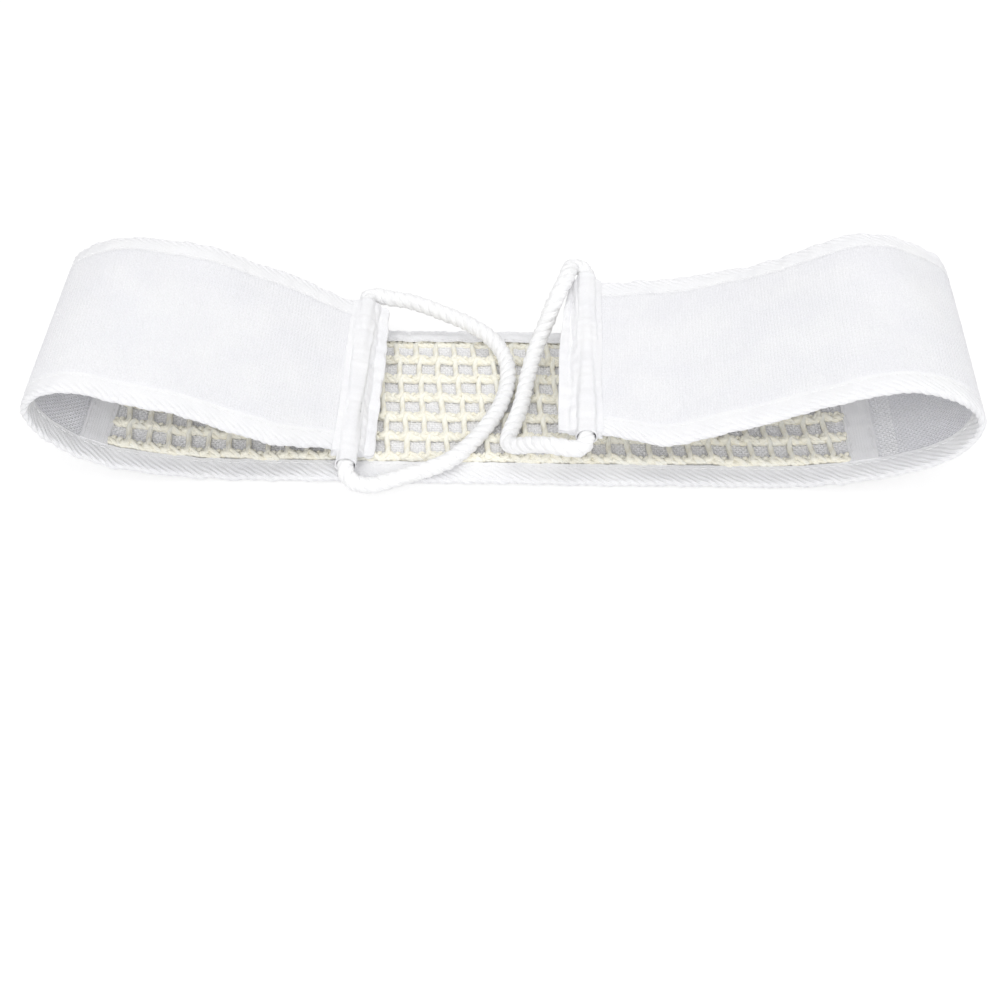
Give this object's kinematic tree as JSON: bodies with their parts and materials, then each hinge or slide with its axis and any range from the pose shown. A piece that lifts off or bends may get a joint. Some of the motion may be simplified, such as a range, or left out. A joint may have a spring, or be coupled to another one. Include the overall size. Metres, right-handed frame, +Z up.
{
  "type": "back scrubber strap",
  "caption": "Long bath strap for scrubbing the back: terry outer face, crocheted sisal net on the inner face, both ends folded over, a rope loop at each end.",
  "frame": {"origin": "middle of the lying strap on the surface it rests on", "axes": "+X along the strap to the right, +Y across it away from the viewer, +Z up"},
  "size_m": [0.3889, 0.1115, 0.0621],
  "materials": {
    "terry_cloth": "soft white terry with fine cross ribs",
    "lining_cloth": "plain woven cotton",
    "edge_tape": "cotton tape with diagonal twill ribs",
    "cross_tape": "flat woven tape",
    "hem_tape": "folded cotton tape",
    "sisal_yarn": "coarse crocheted plant fibre yarn",
    "cotton_rope": "twisted cotton rope",
    "sewing_thread": "white thread"
  },
  "bodies": {
    "strap_centre": {"centre_terry": "terry_cloth", "centre_lining": "lining_cloth", "centre_near_edge_tape": "edge_tape", "centre_far_edge_tape": "edge_tape", "sisal_net": "sisal_yarn", "left_cross_tape": "cross_tape", "left_cross_tape_stitches": "sewing_thread", "right_cross_tape": "cross_tape", "right_cross_tape_stitches": "sewing_thread"},
    "left_lower_bend": {"left_lower_bend_terry": "terry_cloth", "left_lower_bend_lining": "lining_cloth", "left_lower_bend_near_edge_tape": "edge_tape", "left_lower_bend_far_edge_tape": "edge_tape"},
    "left_upper_bend": {"left_upper_bend_terry": "terry_cloth", "left_upper_bend_lining": "lining_cloth", "left_upper_bend_near_edge_tape": "edge_tape", "left_upper_bend_far_edge_tape": "edge_tape"},
    "left_flap": {"left_flap_terry": "terry_cloth", "left_flap_lining": "lining_cloth", "left_flap_near_edge_tape": "edge_tape", "left_flap_far_edge_tape": "edge_tape", "left_end_hem": "hem_tape", "left_end_hem_stitches": "sewing_thread"},
    "left_handle": {"left_rope_in_hem": "cotton_rope", "left_rope_loop": "cotton_rope"},
    "right_lower_bend": {"right_lower_bend_terry": "terry_cloth", "right_lower_bend_lining": "lining_cloth", "right_lower_bend_near_edge_tape": "edge_tape", "right_lower_bend_far_edge_tape": "edge_tape"},
    "right_upper_bend": {"right_upper_bend_terry": "terry_cloth", "right_upper_bend_lining": "lining_cloth", "right_upper_bend_near_edge_tape": "edge_tape", "right_upper_bend_far_edge_tape": "edge_tape"},
    "right_flap": {"right_flap_terry": "terry_cloth", "right_flap_lining": "lining_cloth", "right_flap_near_edge_tape": "edge_tape", "right_flap_far_edge_tape": "edge_tape", "right_end_hem": "hem_tape", "right_end_hem_stitches": "sewing_thread"},
    "right_handle": {"right_rope_in_hem": "cotton_rope", "right_rope_loop": "cotton_rope"}
  },
  "joints": [
    {"name": "left_fold_1", "type": "hinge", "parent": "strap_centre", "child": "left_lower_bend", "pos_m": [-0.17958, 0, 0.01482], "axis": [0, -1, 0], "range_deg": [0, 60]},
    {"name": "left_fold_2", "type": "hinge", "parent": "left_lower_bend", "child": "left_upper_bend", "pos_m": [-0.19423, 0, 0.03845], "axis": [0, -1, 0], "range_deg": [0, 60]},
    {"name": "left_fold_3", "type": "hinge", "parent": "left_upper_bend", "child": "left_flap", "pos_m": [-0.1866, 0, 0.0504], "axis": [0, -1, 0], "range_deg": [0, 60]},
    {"name": "left_handle_swing", "type": "hinge", "parent": "left_flap", "child": "left_handle", "pos_m": [-0.06298, 0.00275, 0.01656], "axis": [-0.0116, -0.9924, -0.1223], "range_deg": [0, 115]},
    {"name": "right_fold_1", "type": "hinge", "parent": "strap_centre", "child": "right_lower_bend", "pos_m": [0.17961, 0, 0.01504], "axis": [0, 1, 0], "range_deg": [0, 60]},
    {"name": "right_fold_2", "type": "hinge", "parent": "right_lower_bend", "child": "right_upper_bend", "pos_m": [0.19451, 0, 0.03828], "axis": [0, 1, 0], "range_deg": [0, 60]},
    {"name": "right_fold_3", "type": "hinge", "parent": "right_upper_bend", "child": "right_flap", "pos_m": [0.18758, 0, 0.05055], "axis": [0, 1, 0], "range_deg": [0, 60]},
    {"name": "right_handle_swing", "type": "hinge", "parent": "right_flap", "child": "right_handle", "pos_m": [0.0365, 0.00275, 0.03023], "axis": [-0.0041, 0.9913, 0.1313], "range_deg": [0, 115]}
  ],
  "couplings": [
    {"joint": "left_fold_2", "follows": "left_fold_1", "ratio": 1},
    {"joint": "left_fold_3", "follows": "left_fold_1", "ratio": 1},
    {"joint": "right_fold_2", "follows": "right_fold_1", "ratio": 1},
    {"joint": "right_fold_3", "follows": "right_fold_1", "ratio": 1}
  ]
}
